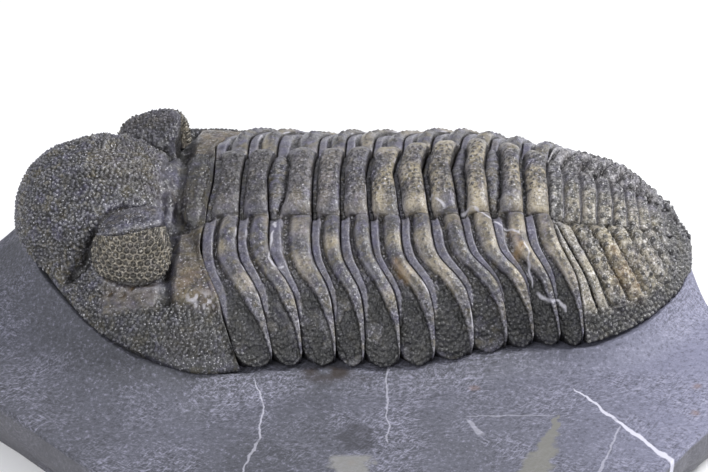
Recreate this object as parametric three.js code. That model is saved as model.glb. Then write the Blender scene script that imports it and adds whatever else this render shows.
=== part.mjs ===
// A trilobite fossil of the genus Drotops, lying on the slab of limestone that it was prepared from.
// The animal's shell was made of plates that hinged on each other: the head shield, eleven segments of the thorax
// and the tail shield. Each plate is one solid, filled with rock underneath, and the slab is another.
// Millimetres, +Z up. The head points to -X, the animal's left side to -Y. The slab's underside is at Z = 0.
import * as THREE from "three";

// The fossil is laid out round its own midline, on a slab surface at z = 0, and moved to the slab at the end
const SLAB_THICKNESS = 12;
const SEAM = 0.4;
const ROCK_GAP = 0.35;
const TAIL_TIP_X = 64.6;

// Where the cross-section of one side has its landmarks, from 0 on the midline to 1 at the free edge
const FURROW = 0.28;
const FULCRUM = 0.5;
const OUTER = 0.7;

// Mesh density
const HALF_COLUMNS = [0, 0.12, 0.22, 0.28, 0.36, 0.44, 0.5, 0.6, 0.72, 0.84, 0.94, 1];
const TAIL_ROWS = 17;
const HEAD_RINGS = 21;
const HEAD_REAR_STEPS = 26;
const HEAD_FRONT_STEPS = 34;

const FINISH = { roughness: 0.75, metalness: 0 };
const SEGMENT_COLOURS = [0x4b4745, 0x575048];
const HEAD_COLOUR = 0x45423f;
const TAIL_COLOUR = 0x5d5848;
const SLAB_COLOUR = 0x75737f;

const mix = (a, b, t) => a + (b - a) * t;
const point = (x, y, z) => new THREE.Vector3(x, y, z);

function ease(a, b, x) {
  const t = Math.min(1, Math.max(0, (x - a) / (b - a)));
  return t * t * (3 - 2 * t);
}

// A smooth curve through a few points, read as a function of x
function through(...points) {
  const last = points.length - 1;
  const slope = (k) => {
    const [xa, ya] = points[Math.max(k - 1, 0)];
    const [xb, yb] = points[Math.min(k + 1, last)];
    return (yb - ya) / (xb - xa);
  };
  return (x) => {
    if (x <= points[0][0]) return points[0][1];
    if (x >= points[last][0]) return points[last][1];
    const i = points.findIndex((p) => p[0] >= x) - 1;
    const [x0, y0] = points[i];
    const [x1, y1] = points[i + 1];
    const t = (x - x0) / (x1 - x0);
    const u = 1 - t;
    const rise0 = (x1 - x0) * slope(i);
    const rise1 = (x1 - x0) * slope(i + 1);
    return u * u * ((1 + 2 * t) * y0 + t * rise0) + t * t * ((1 + 2 * u) * y1 - u * rise1);
  };
}

// A repeatable pseudo-random number from 0 to 1
function chance(i, j) {
  const s = Math.sin(i * 127.1 + j * 311.7) * 43758.5453;
  return s - Math.floor(s);
}

// Heights and half-widths of the body's cross-section along its length
const crestHeight = through([-30, 21], [-24, 22], [-5, 22.6], [8, 23], [16, 24], [23, 24.7], [33, 23.4],
  [40, 20.6], [46, 19], [52, 17], [58, 14.2], [62, 11], [TAIL_TIP_X, 8]);
const furrowHalfWidth = through([-30, 11.9], [-16, 11.2], [0, 11.5], [16, 12], [24, 12.1], [34, 10.4],
  [41, 9.4], [47, 8.2], [54, 6.3], [60, 3.8], [TAIL_TIP_X, 0.9]);
const furrowHeight = through([-30, 19], [-16, 19.4], [0, 20], [16, 20.9], [24, 21.4], [34, 20.4],
  [41, 17.7], [47, 16.5], [54, 14.7], [60, 11.6], [TAIL_TIP_X, 7.7]);
const fulcrumHalfWidth = through([-30, 20.6], [-22, 21.3], [-10, 21.3], [14, 21.1], [24, 20.6], [34, 18], [42, 16.2],
  [50, 13.8], [57, 10], [61, 6.8], [TAIL_TIP_X, 2]);
const fulcrumHeight = through([-30, 15.9], [-24, 17], [-18, 17.7], [-5, 17.8], [8, 18.1], [16, 18.8], [24, 19.2], [34, 18.7],
  [42, 18.3], [47, 17.5], [52, 16.2], [57, 14], [61, 11], [TAIL_TIP_X, 7.5]);
const edgeHalfWidth = through([-20, 38.8], [-16, 37.3], [-8, 36.1], [1, 36.1], [8, 35.9], [14, 35], [20, 33],
  [28, 30.2], [34, 28.5], [43, 27.9], [49, 25.7], [54, 21.8], [58, 17.4], [61, 12.8], [63.4, 7.6], [TAIL_TIP_X, 3.4]);
const edgeHeight = through([-62, 9.8], [-53, 8.7], [-43, 6.6], [-32, 5.2], [-18, 4], [0, 3.6], [30, 3.6],
  [44, 4], [54, 5], [TAIL_TIP_X, 6.6]);

// The solids' undersides: level below the thorax, rising straight to the head and to the tail
const FLOOR_BENDS = { head: -19, tail: 45 };
function floorHeight(x) {
  const toHead = Math.max(0, FLOOR_BENDS.head - x) * 0.135;
  const toTail = Math.max(0, x - FLOOR_BENDS.tail) * 0.13;
  return 3 + toHead + toTail;
}

// One side of the cross-section at x: v runs from 0 on the midline to 1 at the free edge, and gives [y, z]
function sectionPoint(x, v) {
  const crest = crestHeight(x);
  const a = furrowHalfWidth(x);
  const furrow = furrowHeight(x);
  const f = fulcrumHalfWidth(x);
  const bend = fulcrumHeight(x);
  const reach = edgeHalfWidth(x) - f;
  const drop = bend - edgeHeight(x);
  const lobe = crest - furrow;
  const y = through([0, 0], [0.12, 0.5 * a], [0.22, 0.88 * a], [FURROW, a], [0.38, mix(a, f, 0.45)], [FULCRUM, f],
    [0.62, f + 0.3 * reach], [0.76, f + 0.62 * reach], [0.9, f + 0.87 * reach], [1, f + reach]);
  const z = through([0, crest], [0.12, crest - 0.18 * lobe], [0.22, crest - 0.62 * lobe], [FURROW, furrow],
    [0.38, mix(furrow, bend, 0.5) + 0.9], [FULCRUM, bend], [0.62, bend - 0.17 * drop], [0.76, bend - 0.45 * drop],
    [0.9, bend - 0.76 * drop], [1, bend - drop]);
  return [y(v), z(v)];
}

// A point of the shell, raised by relief along the section's own normal; a negative v is the animal's left side
function shellPoint(x, v, relief) {
  const w = Math.abs(v);
  const [y, z] = sectionPoint(x, w);
  const [y0, z0] = sectionPoint(x, Math.max(w - 0.02, 0));
  const [y1, z1] = sectionPoint(x, Math.min(w + 0.02, 1));
  const length = Math.hypot(y1 - y0, z1 - z0);
  const outward = w < 0.02 ? 0 : (relief * (z0 - z1)) / length;
  return point(x, Math.sign(v) * (y + outward), z + (relief * (y1 - y0)) / length);
}

// Seams between the plates: x on the crest, in the furrow, at the fulcrum, on the outer pleura and at the free edge
const SEAMS = [
  [-26.8, -27.3, -27.2, -23.6, -19],
  [-21.3, -21, -20.4, -16, -12.8],
  [-16.4, -15.4, -14.5, -9.8, -7.6],
  [-7.8, -7.4, -6.8, -3.2, -1.6],
  [-2.6, -2.1, -1.4, 2.4, 3.4],
  [2.2, 3.2, 4.4, 8.6, 9.9],
  [7.4, 9, 10, 14.8, 16.2],
  [12.8, 14.4, 15.9, 21.4, 23.2],
  [18.2, 20, 21.9, 27.4, 29.4],
  [24.6, 25.7, 27.4, 32.2, 34.4],
  [31.2, 31.9, 33, 36.8, 39.4],
  [36.2, 36.8, 38.4, 41.6, 43.4],
].map((x) => through([0, x[0]], [FURROW, x[1]], [FULCRUM, x[2]], [OUTER, x[3]], [1, x[4]]));

// How far the plates' edges dip along a seam, and the ridges of one segment from its front to its back
const seamDip = through([0, -0.9], [FURROW, -0.7], [FULCRUM, -0.6], [OUTER, -0.35], [1, -0.2]);
const ringRidge = through([0, 0], [0.14, 0], [0.34, 1.1], [0.58, 1.7], [0.82, 1.5], [1, 0]);
const pleuraRidge = through([0, 0], [0.14, 0.9], [0.34, 0.1], [0.58, 1.2], [0.82, 1.5], [1, 0]);
const paddleRidge = through([0, 0], [0.14, 0.3], [0.34, 0.1], [0.58, 0.2], [0.82, 0.8], [1, 0]);
const SEGMENT_STEPS = [0, 0.14, 0.34, 0.58, 0.82, 1];

function segmentRelief(u, w) {
  const ring = 1 - ease(FURROW - 0.06, FURROW, w);
  const paddle = ease(FULCRUM + 0.04, OUTER + 0.06, w);
  const side = mix(pleuraRidge(u), paddleRidge(u), paddle);
  return seamDip(w) + mix(side, ringRidge(u), ring);
}

// Nine rings on the tail's axis and seven ribs on either side of it, each with a lump where the tubercles sit
function tailRelief(u, w) {
  const ring = 1 - ease(FURROW - 0.06, FURROW, w);
  const fade = ease(0, 0.05, u) * (1 - ease(0.86, 0.98, u));
  const rings = 0.5 - 0.5 * Math.cos(2 * Math.PI * 8.5 * Math.pow(u, 0.9));
  const ribs = (0.5 - 0.5 * Math.cos(2 * Math.PI * 6.5 * Math.pow(u, 0.9))) * (1 - ease(0.8, 0.93, w));
  return seamDip(w) * (1 - ease(0, 0.08, u)) + fade * mix(ribs, rings, ring);
}

// A closed mesh from a list of corner points and triangles
function solid(name, colour, corners, triangles) {
  const geometry = new THREE.BufferGeometry();
  geometry.setAttribute("position", new THREE.Float32BufferAttribute(corners.flatMap((p) => [p.x, p.y, p.z]), 3));
  geometry.setIndex(triangles.flat());
  geometry.computeVertexNormals();
  const mesh = new THREE.Mesh(geometry, new THREE.MeshStandardMaterial({ color: colour, ...FINISH }));
  mesh.name = name;
  return mesh;
}

// Columns over both sides, from the left free edge over the crest to the right free edge
const COLUMNS = [...HALF_COLUMNS.slice(1).reverse().map((v) => -v), ...HALF_COLUMNS];

// One plate: a grid of rows from the front seam to the back seam, with upright walls down to its underside
function plate(name, colour, frontX, backX, steps, relief, tipRounding) {
  const corners = [];
  const triangles = [];
  const add = (p) => corners.push(p) - 1;
  const quad = (a, b, c, d) => triangles.push([a, b, c], [a, c, d]);
  const top = steps.map((u) => COLUMNS.map((column) => {
    const narrowing = tipRounding * (2 * u - 1) ** 2 * ease(0.82, 1, Math.abs(column));
    const v = column * (1 - narrowing);
    const w = Math.abs(v);
    return add(shellPoint(mix(frontX(w), backX(w), u), v, relief(u, w)));
  }));
  const under = (i) => add(point(corners[i].x, corners[i].y, floorHeight(corners[i].x)));
  const rows = top.length - 1;
  const columns = COLUMNS.length - 1;
  const front = top[0].map(under);
  const back = top[rows].map(under);
  const left = [front[0], ...top.slice(1, rows).map((row) => under(row[0])), back[0]];
  const right = [front[columns], ...top.slice(1, rows).map((row) => under(row[columns])), back[columns]];
  for (let i = 0; i < rows; i++) {
    for (let j = 0; j < columns; j++) quad(top[i][j], top[i + 1][j], top[i + 1][j + 1], top[i][j + 1]);
    quad(left[i], left[i + 1], top[i + 1][0], top[i][0]);
    quad(right[i + 1], right[i], top[i][columns], top[i + 1][columns]);
    if (i > 0) triangles.push([left[0], left[i + 1], left[i]], [right[0], right[i], right[i + 1]]);
  }
  for (let j = 0; j < columns; j++) {
    quad(front[j], top[0][j], top[0][j + 1], front[j + 1]);
    quad(back[j], back[j + 1], top[rows][j + 1], top[rows][j]);
    quad(front[j], front[j + 1], back[j + 1], back[j]);
  }
  return solid(name, colour, corners, triangles);
}

// The head shield is seen from one inner point: every direction meets its surface once
const HEAD_CENTRE = point(-38, 0, 4);
const HEAD_TOP = point(-6, 0, 22).normalize();
const HEAD_MARGIN_CENTRE_X = -26;
const headMarginRadius = through([0, 35.3], [38, 35.1], [63, 37.7], [90, 41], [98, 40.2]);
const HEAD_LAST_ANGLE = 97;

// Rounded bodies whose smooth union is the head: centre, half-axes and how boxy they are
const HEAD_BODIES = [
  { at: [-33, 0, 2], axes: [28.5, 40.2, 15.6], power: 2.2 },
  { at: [-48, 0, 11.8], axes: [16.7, 17.8, 14.2], power: 2.1 },
  { at: [-40.5, 0, 12], axes: [11.5, 10.8, 10.8], power: 2.4 },
  { at: [-34.2, 0, 13], axes: [2, 11.4, 8.2], power: 2.4 },
  { at: [-29.6, 0, 13], axes: [2.8, 12.4, 9], power: 2.4 },
  { at: [-39.4, 18, 12.6], axes: [7.7, 8.2, 11.9], power: 2.6 },
  { at: [-39.4, -18, 12.6], axes: [7.7, 8.2, 11.9], power: 2.6 },
];
const HEAD_BLEND = 0.45;

// Signed measure of a place: negative inside the head, roughly millimetres outside it
function headField(p) {
  let sum = 0;
  for (const { at, axes, power } of HEAD_BODIES) {
    const norm = Math.pow(Math.abs(p.x - at[0]) / axes[0], power) + Math.pow(Math.abs(p.y - at[1]) / axes[1], power)
      + Math.pow(Math.abs(p.z - at[2]) / axes[2], power);
    const distance = (Math.pow(norm, 1 / power) - 1) * Math.min(...axes);
    sum += Math.exp(-distance / HEAD_BLEND);
  }
  return -HEAD_BLEND * Math.log(sum);
}

// Distance from the inner point to the head's outermost surface in one direction
function headReach(direction) {
  const probe = (r) => headField(HEAD_CENTRE.clone().addScaledVector(direction, r));
  let outside = 60;
  while (probe(outside) > 0) outside -= 0.4;
  let inside = outside;
  outside += 0.4;
  for (let i = 0; i < 12; i++) {
    const middle = (inside + outside) / 2;
    if (probe(middle) > 0) outside = middle;
    else inside = middle;
  }
  return inside;
}

function headRearPoint(v) {
  const w = Math.abs(v);
  return shellPoint(SEAMS[0](w) - SEAM / 2, v, seamDip(w));
}

function headMarginPoint(degrees) {
  const angle = THREE.MathUtils.degToRad(degrees);
  const r = headMarginRadius(Math.abs(degrees));
  const x = HEAD_MARGIN_CENTRE_X - r * Math.cos(angle);
  return point(x, r * Math.sin(angle), edgeHeight(x));
}

// The head shield: rings from its top out to a closed rim, then straight down to its underside
function head() {
  const rim = [];
  for (let i = 0; i <= HEAD_REAR_STEPS; i++) rim.push(headRearPoint(-1 + (2 * i) / HEAD_REAR_STEPS));
  for (let i = 0; i <= HEAD_FRONT_STEPS; i++) rim.push(headMarginPoint(HEAD_LAST_ANGLE * (1 - (2 * i) / HEAD_FRONT_STEPS)));
  const corners = [];
  const triangles = [];
  const add = (p) => corners.push(p) - 1;
  const summit = add(HEAD_CENTRE.clone().addScaledVector(HEAD_TOP, headReach(HEAD_TOP)));
  const rings = [];
  for (let k = 1; k <= HEAD_RINGS; k++) {
    const t = k / HEAD_RINGS;
    rings.push(rim.map((edge, j) => {
      const spoke = edge.clone().sub(HEAD_CENTRE);
      const edgeReach = spoke.length();
      spoke.normalize();
      const turn = Math.acos(HEAD_TOP.dot(spoke));
      const direction = HEAD_TOP.clone().multiplyScalar(Math.sin((1 - t) * turn) / Math.sin(turn));
      direction.addScaledVector(spoke, Math.sin(t * turn) / Math.sin(turn));
      const rough = 0.5 * ease(0.1, 0.35, t) * (chance(k, j) - 0.4);
      const free = headReach(direction) + rough;
      return add(HEAD_CENTRE.clone().addScaledVector(direction, mix(free, edgeReach, ease(0.9, 1, t))));
    }));
  }
  const foot = rim.map((p) => add(point(p.x, p.y, floorHeight(p.x))));
  const middle = add(point(HEAD_CENTRE.x, 0, floorHeight(HEAD_CENTRE.x)));
  const outer = rings[HEAD_RINGS - 1];
  for (let j = 0; j < rim.length; j++) {
    const next = (j + 1) % rim.length;
    triangles.push([summit, rings[0][j], rings[0][next]], [middle, foot[next], foot[j]]);
    triangles.push([outer[j], foot[j], foot[next]], [outer[j], foot[next], outer[next]]);
    for (let k = 1; k < HEAD_RINGS; k++) {
      triangles.push([rings[k - 1][j], rings[k][j], rings[k][next]], [rings[k - 1][j], rings[k][next], rings[k - 1][next]]);
    }
  }
  return solid("cephalon", HEAD_COLOUR, corners, triangles);
}

// The slab. Its upper rim below the fossil: stations along the body, with the rim's half-width at each
const PEDESTAL = [
  [-59.9, 0], [-58.9, 6.5], [-57, 12.5], [-54, 18], [-50, 23.5], [-46, 28], [-41.5, 32.2], [-36, 35.9],
  [-30.5, 38.1], [-25, 38.9], [FLOOR_BENDS.head, 37.6], [-13, 35.6], [-6, 34.6], [1, 34.5], [8, 34.2], [14, 33.4],
  [20, 31.5], [27, 29], [34, 27], [40, 26.6], [FLOOR_BENDS.tail, 26], [50, 23.4], [54, 19.8], [57.5, 15.4],
  [60.3, 10.6], [62, 6], [62.9, 0],
];

// The slab's outline seen from above, from in front of the head along each side to behind the tail
const NEAR_OUTLINE = [
  [-72, 1], [-76.5, -5], [-76, -18], [-73.5, -33], [-68, -41], [-61.8, -46.2], [-52, -55.5], [-42.6, -63.7],
  [-37.5, -73], [-26, -77.5], [-8, -78.4], [12, -77.2], [30, -77.8], [45, -75.6], [51, -68], [56, -60.2],
  [64.4, -48.3], [73, -38], [77.5, -30], [76, -19], [67.6, -10.2], [63.6, -1],
];
const FAR_OUTLINE = [
  [-72, 1], [-66.1, 9.8], [-60, 20], [-52, 29.5], [-41, 36.5], [-26, 40.4], [-8, 39.6], [10, 39.2], [30, 34.8],
  [45, 28.4], [55, 19], [61.5, 8.4], [63.6, -1],
];

// A place along a chain of points, by its share of the chain's length
function along(chain, share) {
  const lengths = chain.slice(1).map((p, i) => Math.hypot(p[0] - chain[i][0], p[1] - chain[i][1]));
  let left = share * lengths.reduce((a, b) => a + b, 0);
  for (let i = 0; i < lengths.length; i++) {
    if (left <= lengths[i] || i === lengths.length - 1) {
      const t = Math.min(1, left / lengths[i]);
      return [mix(chain[i][0], chain[i + 1][0], t), mix(chain[i][1], chain[i + 1][1], t)];
    }
    left -= lengths[i];
  }
  return chain[chain.length - 1];
}

// Rings of the slab, each from the rim below the fossil (0) to the slab's outline (1), and their heights
const SLAB_RINGS = [
  { share: 0, height: null },
  { share: 0.09, height: 0.9 },
  { share: 0.45, height: 0.3 },
  { share: 0.8, height: 0.1 },
  { share: 0.97, height: -0.5 },
  { share: 1, height: -2.4 },
  { share: 0.99, height: -5.2 },
  { share: 0.86, height: -SLAB_THICKNESS },
];

function slab() {
  const last = PEDESTAL.length - 1;
  const spoke = (i, side) => {
    const [x, half] = PEDESTAL[i];
    const [ox, oy] = along(side < 0 ? NEAR_OUTLINE : FAR_OUTLINE, i / last);
    return { rim: [x, side * half], outline: [ox, oy] };
  };
  const spokes = [];
  for (let i = 0; i <= last; i++) spokes.push(spoke(i, -1));
  for (let i = last - 1; i > 0; i--) spokes.push(spoke(i, 1));
  const corners = [];
  const triangles = [];
  const add = (p) => corners.push(p) - 1;
  const quad = (a, b, c, d) => triangles.push([a, b, c], [a, c, d]);
  const rings = SLAB_RINGS.map(({ share, height }, k) => spokes.map(({ rim, outline }, j) => {
    const x = mix(rim[0], outline[0], share);
    const y = mix(rim[1], outline[1], share);
    if (height === null) return add(point(x, y, floorHeight(x) - ROCK_GAP));
    const isBase = k === SLAB_RINGS.length - 1;
    const lump = isBase ? 0 : 0.7 * (chance(k, j) - 0.5);
    return add(point(x, y, height + lump));
  }));
  const count = spokes.length;
  const base = rings[rings.length - 1];
  const centre = add(point(0, -18, -SLAB_THICKNESS));
  for (let j = 0; j < count; j++) {
    const next = (j + 1) % count;
    for (let k = 1; k < rings.length; k++) quad(rings[k - 1][j], rings[k][j], rings[k][next], rings[k - 1][next]);
    triangles.push([base[j], centre, base[next]]);
  }
  const near = (i) => rings[0][i];
  const far = (i) => rings[0][(count - i) % count];
  for (let i = 1; i < last - 1; i++) quad(near(i), near(i + 1), far(i + 1), far(i));
  triangles.push([near(0), near(1), far(1)], [near(last - 1), near(last), far(last - 1)]);
  return solid("matrix", SLAB_COLOUR, corners, triangles);
}

// All the pieces, moved so that the slab's underside is at Z = 0 and the slab's bounding box is centred
const group = new THREE.Group();
group.add(slab(), head());
for (let n = 1; n <= 11; n++) {
  const front = (w) => SEAMS[n - 1](w) + SEAM / 2;
  const back = (w) => SEAMS[n](w) - SEAM / 2;
  const name = `thorax_segment_${String(n).padStart(2, "0")}`;
  group.add(plate(name, SEGMENT_COLOURS[n % 2], front, back, SEGMENT_STEPS, segmentRelief, 0.08));
}
const tailSteps = Array.from({ length: TAIL_ROWS }, (_, i) => Math.sin((i / (TAIL_ROWS - 1)) * (Math.PI / 2)));
group.add(plate("pygidium", TAIL_COLOUR, (w) => SEAMS[11](w) + SEAM / 2, () => TAIL_TIP_X, tailSteps, tailRelief, 0));

const box = new THREE.Box3().setFromObject(group);
const shift = point(-(box.min.x + box.max.x) / 2, -(box.min.y + box.max.y) / 2, -box.min.z);
for (const mesh of group.children) {
  mesh.geometry.translate(shift.x, shift.y, shift.z);
}

export default group;
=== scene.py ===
# %% [markdown]
# # A trilobite fossil on its slab
# The real thing is a shell of dark calcite, about 13 cm long, that a preparator freed from grey limestone
# with fine air tools. The shell is a row of plates: the head shield, eleven segments and the tail shield.
# Its relief is what makes it: rings, ribs, hundreds of small bumps and two eyes built from lenses. One way
# to make such a surface is by hand in sculpt mode. Here each plate starts from a grid made by a bmesh
# operator, and short functions of position move its vertices, as a sculptor would: first the big form, then
# ridges, then bumps. That way every plate follows the same cross-section, and any number can still be
# changed.

from collections import namedtuple
from itertools import product

import bmesh
import bpy
import numpy as np
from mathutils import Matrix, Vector
from mathutils.kdtree import KDTree


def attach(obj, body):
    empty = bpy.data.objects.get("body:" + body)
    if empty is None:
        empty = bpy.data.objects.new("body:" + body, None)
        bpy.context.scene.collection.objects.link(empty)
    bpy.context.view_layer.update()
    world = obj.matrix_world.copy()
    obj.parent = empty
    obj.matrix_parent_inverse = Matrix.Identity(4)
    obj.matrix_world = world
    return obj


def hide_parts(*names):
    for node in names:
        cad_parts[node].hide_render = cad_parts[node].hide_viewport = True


MM = 0.001
FAR_AWAY = 1e9
TINY = 1e-9
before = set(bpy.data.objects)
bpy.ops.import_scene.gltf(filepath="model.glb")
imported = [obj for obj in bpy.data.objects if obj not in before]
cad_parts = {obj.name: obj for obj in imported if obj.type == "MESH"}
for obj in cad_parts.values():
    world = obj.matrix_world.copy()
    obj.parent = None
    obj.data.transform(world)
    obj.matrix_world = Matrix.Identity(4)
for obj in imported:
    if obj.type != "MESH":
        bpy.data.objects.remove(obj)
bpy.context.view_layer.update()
print("plates and slab in the frame:", sorted(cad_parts))

# %% [markdown]
# The fossil is laid out in millimetres round its own midline, with the slab's surface at z = 0, the head
# towards -X and the animal's left side towards -Y. FOSSIL_TO_PART moves such a place to the frame of the
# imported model.

# %% Places, curves and blends
FOSSIL_TO_PART = np.array([-0.3516, 18.6636, 12.0])


def to_part(places):
    return (np.asarray(places, float) + FOSSIL_TO_PART) * MM


def mix(a, b, share):
    return a + (b - a) * share


def ease(start, end, x):
    t = np.clip((x - start) / (end - start), 0, 1)
    return t * t * (3 - 2 * t)


def fade(start, end, x):
    return 1 - ease(start, end, x)


def between(x, rise, rise_end, fall, fall_end):
    """1 from rise_end to fall, 0 before rise and after fall_end"""
    return ease(rise, rise_end, x) * fade(fall, fall_end, x)


def bell(x, centre, width):
    return np.exp(-(((x - centre) / width) ** 2))


def hermite(x, knots, values):
    """A smooth curve through values at the knots; each value may be an array of x's own shape"""
    knots = np.asarray(knots, float)
    values = np.stack([np.broadcast_to(value, np.shape(x)) for value in values]).astype(float)
    column = knots.reshape((-1,) + (1,) * np.ndim(x))
    slopes = np.empty_like(values)
    slopes[1:-1] = (values[2:] - values[:-2]) / (column[2:] - column[:-2])
    slopes[0] = (values[1] - values[0]) / (knots[1] - knots[0])
    slopes[-1] = (values[-1] - values[-2]) / (knots[-1] - knots[-2])
    x = np.clip(x, knots[0], knots[-1])
    low = np.clip(np.searchsorted(knots, x) - 1, 0, len(knots) - 2)
    pick = lambda stack, index: np.take_along_axis(stack, index[None], 0)[0]
    step = knots[low + 1] - knots[low]
    t = (x - knots[low]) / step
    s = 1 - t
    start = (1 + 2 * t) * pick(values, low) + t * step * pick(slopes, low)
    end = (1 + 2 * s) * pick(values, low + 1) - s * step * pick(slopes, low + 1)
    return s * s * start + t * t * end


def curve(*points):
    """A smooth curve through a few points, as a function of x"""
    knots, values = np.array(points, float).T
    return lambda x: hermite(np.asarray(x, float), knots, values)


# %% [markdown]
# The camera comes next, because every later choice is judged from it. The photograph was taken from the
# animal's left, a third of the way up to overhead, with a long lens: the far side is hardly smaller than
# the near one.

# %% Camera
CAMERA_TURN = np.radians(2)
CAMERA_RISE = np.radians(33)
CAMERA_DISTANCE = 480
CAMERA_TARGET = np.array([0, 0.5, 8])
CAMERA_LENS = 126.9


def new_object(name, data):
    thing = bpy.data.objects.new(name, data)
    bpy.context.collection.objects.link(thing)
    return thing


camera = new_object("camera", bpy.data.cameras.new("camera"))
towards_camera = np.array([
    np.sin(CAMERA_TURN) * np.cos(CAMERA_RISE),
    -np.cos(CAMERA_TURN) * np.cos(CAMERA_RISE),
    np.sin(CAMERA_RISE),
])
camera.location = to_part(CAMERA_TARGET + CAMERA_DISTANCE * towards_camera)
camera.rotation_euler = Vector(towards_camera).to_track_quat("Z", "Y").to_euler()
camera.data.lens = CAMERA_LENS
camera.data.sensor_width = 36
camera.data.clip_start = 0.01
bpy.context.scene.camera = camera
print("camera at", [round(value, 3) for value in camera.location], "m")

# %% [markdown]
# The body is a long vault. Its height and width along the animal are curves through a few measured
# stations: the crest, the furrow beside the middle lobe, the fulcrum where each rib bends down, and the
# free edge. A place on the shell is then two numbers: x along the body, and w from 0 on the midline to 1 at
# the free edge.

# %% The body's long curves
TAIL_TIP_X = 64.6
FURROW = 0.28
FULCRUM = 0.5
OUTER = 0.7
SECTION_SHARES = (0, 0.12, 0.22, FURROW, 0.38, FULCRUM, 0.62, 0.76, 0.9, 1)
crest_height = curve((-30, 21), (-24, 22), (-5, 22.6), (8, 23), (16, 24), (23, 24.7), (33, 23.4),
                     (40, 20.6), (46, 19), (52, 17), (58, 14.2), (62, 11), (TAIL_TIP_X, 8))
furrow_half_width = curve((-30, 11.9), (-16, 11.2), (0, 11.5), (16, 12), (24, 12.1), (34, 10.4),
                          (41, 9.4), (47, 8.2), (54, 6.3), (60, 3.8), (TAIL_TIP_X, 0.9))
furrow_height = curve((-30, 19), (-16, 19.4), (0, 20), (16, 20.9), (24, 21.4), (34, 20.4),
                      (41, 17.7), (47, 16.5), (54, 14.7), (60, 11.6), (TAIL_TIP_X, 7.7))
fulcrum_half_width = curve((-30, 20.6), (-22, 21.3), (-10, 21.3), (14, 21.1), (24, 20.6), (34, 18),
                           (42, 16.2), (50, 13.8), (57, 10), (61, 6.8), (TAIL_TIP_X, 2))
fulcrum_height = curve((-30, 15.9), (-24, 17), (-18, 17.7), (-5, 17.8), (8, 18.1), (16, 18.8),
                       (24, 19.2), (34, 18.7), (42, 18.3), (47, 17.5), (52, 16.2), (57, 14), (61, 11),
                       (TAIL_TIP_X, 7.5))
edge_half_width = curve((-20, 38.8), (-16, 37.3), (-8, 36.1), (1, 36.1), (8, 35.9), (14, 35), (20, 33),
                        (28, 30.2), (34, 28.5), (43, 27.9), (49, 25.7), (54, 21.8), (58, 17.4),
                        (61, 12.8), (63.4, 7.6), (TAIL_TIP_X, 3.4))
edge_height = curve((-62, 9.8), (-53, 8.7), (-43, 6.6), (-32, 5.2), (-18, 4), (0, 3.6), (30, 3.6),
                    (44, 4), (54, 5), (TAIL_TIP_X, 6.6))


def floor_height(x):
    """The plates' undersides: level below the thorax, rising to the head and to the tail"""
    return 3 + np.maximum(0, -19 - x) * 0.135 + np.maximum(0, x - 45) * 0.13


def section(x, side):
    """Places on the smooth vault; side runs from -1 at the left free edge to 1 at the right one"""
    w = np.abs(side)
    crest, furrow, bend = crest_height(x), furrow_height(x), fulcrum_height(x)
    a, f = furrow_half_width(x), fulcrum_half_width(x)
    reach, drop, lobe = edge_half_width(x) - f, bend - edge_height(x), crest - furrow
    y = hermite(w, SECTION_SHARES, (
        0, 0.5 * a, 0.88 * a, a, mix(a, f, 0.45), f,
        *(f + part * reach for part in (0.3, 0.62, 0.87, 1))))
    z = hermite(w, SECTION_SHARES, (
        crest, crest - 0.18 * lobe, crest - 0.62 * lobe, furrow, mix(furrow, bend, 0.5) + 0.9, bend,
        *(bend - part * drop for part in (0.17, 0.45, 0.76, 1))))
    return np.stack([x, np.sign(side) * y, z], -1)


# Where one plate ends and the next begins: x on the crest, in the furrow, at the fulcrum, outside it, at
# the edge
SEAM_PLACES = (
    (-26.8, -27.3, -27.2, -23.6, -19),
    (-21.3, -21, -20.4, -16, -12.8),
    (-16.4, -15.4, -14.5, -9.8, -7.6),
    (-7.8, -7.4, -6.8, -3.2, -1.6),
    (-2.6, -2.1, -1.4, 2.4, 3.4),
    (2.2, 3.2, 4.4, 8.6, 9.9),
    (7.4, 9, 10, 14.8, 16.2),
    (12.8, 14.4, 15.9, 21.4, 23.2),
    (18.2, 20, 21.9, 27.4, 29.4),
    (24.6, 25.7, 27.4, 32.2, 34.4),
    (31.2, 31.9, 33, 36.8, 39.4),
    (36.2, 36.8, 38.4, 41.6, 43.4),
)
SEAM_GAP = 0.12
SEAMS = [curve(*zip((0, FURROW, FULCRUM, OUTER, 1), places)) for places in SEAM_PLACES]
print("half-widths of the thorax, mm:", edge_half_width(np.array([-16, 0, 16, 34])).round(1))

# %% [markdown]
# Nature is uneven, so two kinds of chance are needed. noise() gives soft lumps of a chosen size from a
# lattice of random numbers. scatter() picks spots that keep their distance from each other, as bumps on a
# shell do. Both are seeded, so each run gives the same fossil.

# %% Noise and scattered spots
MOST_TRIED = 45000


def noise(places, size, seed):
    """A soft random value from -1 to 1 at each place, with lumps about size millimetres across"""
    spot = np.asarray(places, float) / size + 31.7 * seed
    cell = np.floor(spot).astype(np.int64)
    t = spot - cell
    t = t * t * (3 - 2 * t)
    total = np.zeros(spot.shape[:-1])
    for corner in product((0, 1), repeat=3):
        x, y, z = np.moveaxis(cell + corner, -1, 0)
        mixed = (x * 73856093 ^ y * 19349663 ^ z * 83492791 ^ seed * 2654435) & 0xFFFFFFFF
        mixed = ((mixed ^ (mixed >> 13)) * 1274126177) & 0xFFFFFFFF
        value = ((mixed ^ (mixed >> 16)) & 0xFFFF) / 32767.5 - 1
        total += value * np.prod(np.where(corner, t, 1 - t), axis=-1)
    return total


def layered_noise(places, size, seed, layers=3):
    return sum(noise(places, size / 2**k, seed + k) / 2**k for k in range(layers))


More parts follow.
